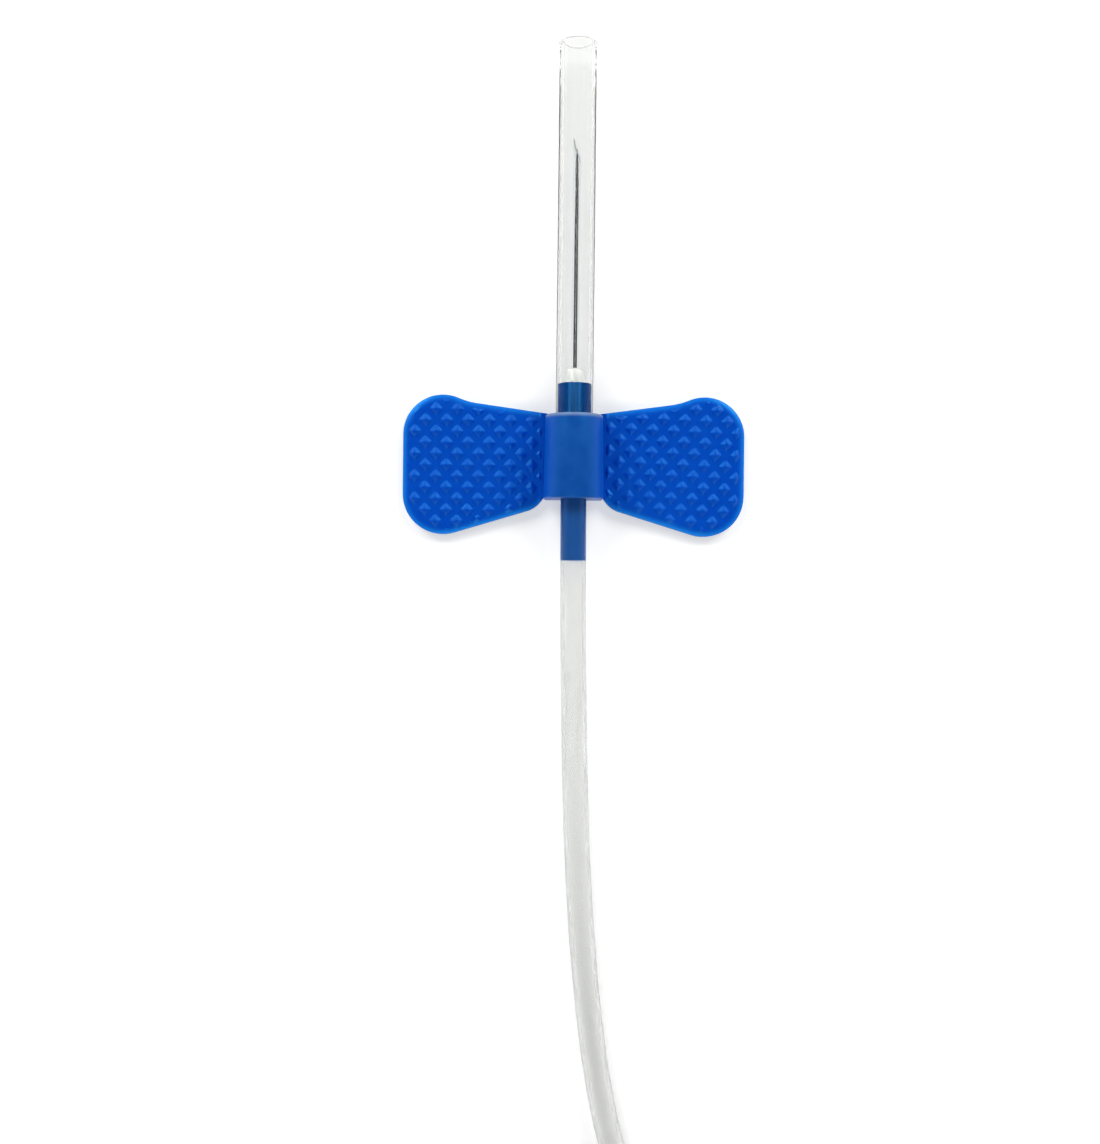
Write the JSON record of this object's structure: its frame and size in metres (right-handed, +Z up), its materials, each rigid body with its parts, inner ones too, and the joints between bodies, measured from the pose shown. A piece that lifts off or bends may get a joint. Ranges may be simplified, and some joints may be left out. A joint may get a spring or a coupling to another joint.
{
  "type": "blood collection needle",
  "caption": "Winged blood collection needle: bevelled cannula in a clear open sheath, knurled fold-up wings, and thin coiled tubing to a threaded hub with a capped, sleeved needle.",
  "frame": {"origin": "middle of the flat underside below the barrel, under the needle's line", "axes": "+Y the way the needle points, +X to the right wing, +Z up, the knurled side of the wings"},
  "size_m": [0.0319, 0.1582, 0.0084],
  "materials": {
    "wing_blue": "soft satin moulding",
    "hub_blue": "glossy moulding",
    "steel": "drawn and ground",
    "adhesive": "cured bead",
    "sheath_clear": "clear",
    "tube_clear": "clear, slightly frosted",
    "rear_hub_white": "plain moulding",
    "rubber_grey": "matt",
    "cap_white": "translucent moulding"
  },
  "bodies": {
    "set": {"needle_hub": "hub_blue", "needle": "steel", "needle_adhesive": "adhesive", "wing_sleeve": "wing_blue", "tubing": "tube_clear", "tubing_coil": "tube_clear", "tubing_end": "tube_clear", "rear_hub": "rear_hub_white", "rear_needle": "steel", "rear_adhesive": "adhesive", "rubber_sleeve": "rubber_grey"},
    "left_fold": {"left_wing": "wing_blue"},
    "right_fold": {"right_wing": "wing_blue"},
    "sheath": {"needle_sheath": "sheath_clear"},
    "cap": {"rear_cap": "cap_white"}
  },
  "joints": [
    {"name": "left_wing_fold", "type": "hinge", "parent": "set", "child": "left_fold", "pos_m": [-0.0031, 0, 0.001], "axis": [0, 1, 0], "range_deg": [0, 85], "stiffness_Nm_per_rad": 0.002},
    {"name": "right_wing_fold", "type": "hinge", "parent": "set", "child": "right_fold", "pos_m": [0.0031, 0, 0.001], "axis": [0, -1, 0], "range_deg": [0, 85], "stiffness_Nm_per_rad": 0.002},
    {"name": "sheath_slide", "type": "slide", "parent": "set", "child": "sheath", "axis": [0, 1, 0], "range_m": [0, 0.028]},
    {"name": "rear_cap_slide", "type": "slide", "parent": "set", "child": "cap", "axis": [0, -1, 0], "range_m": [0, 0.024]}
  ]
}
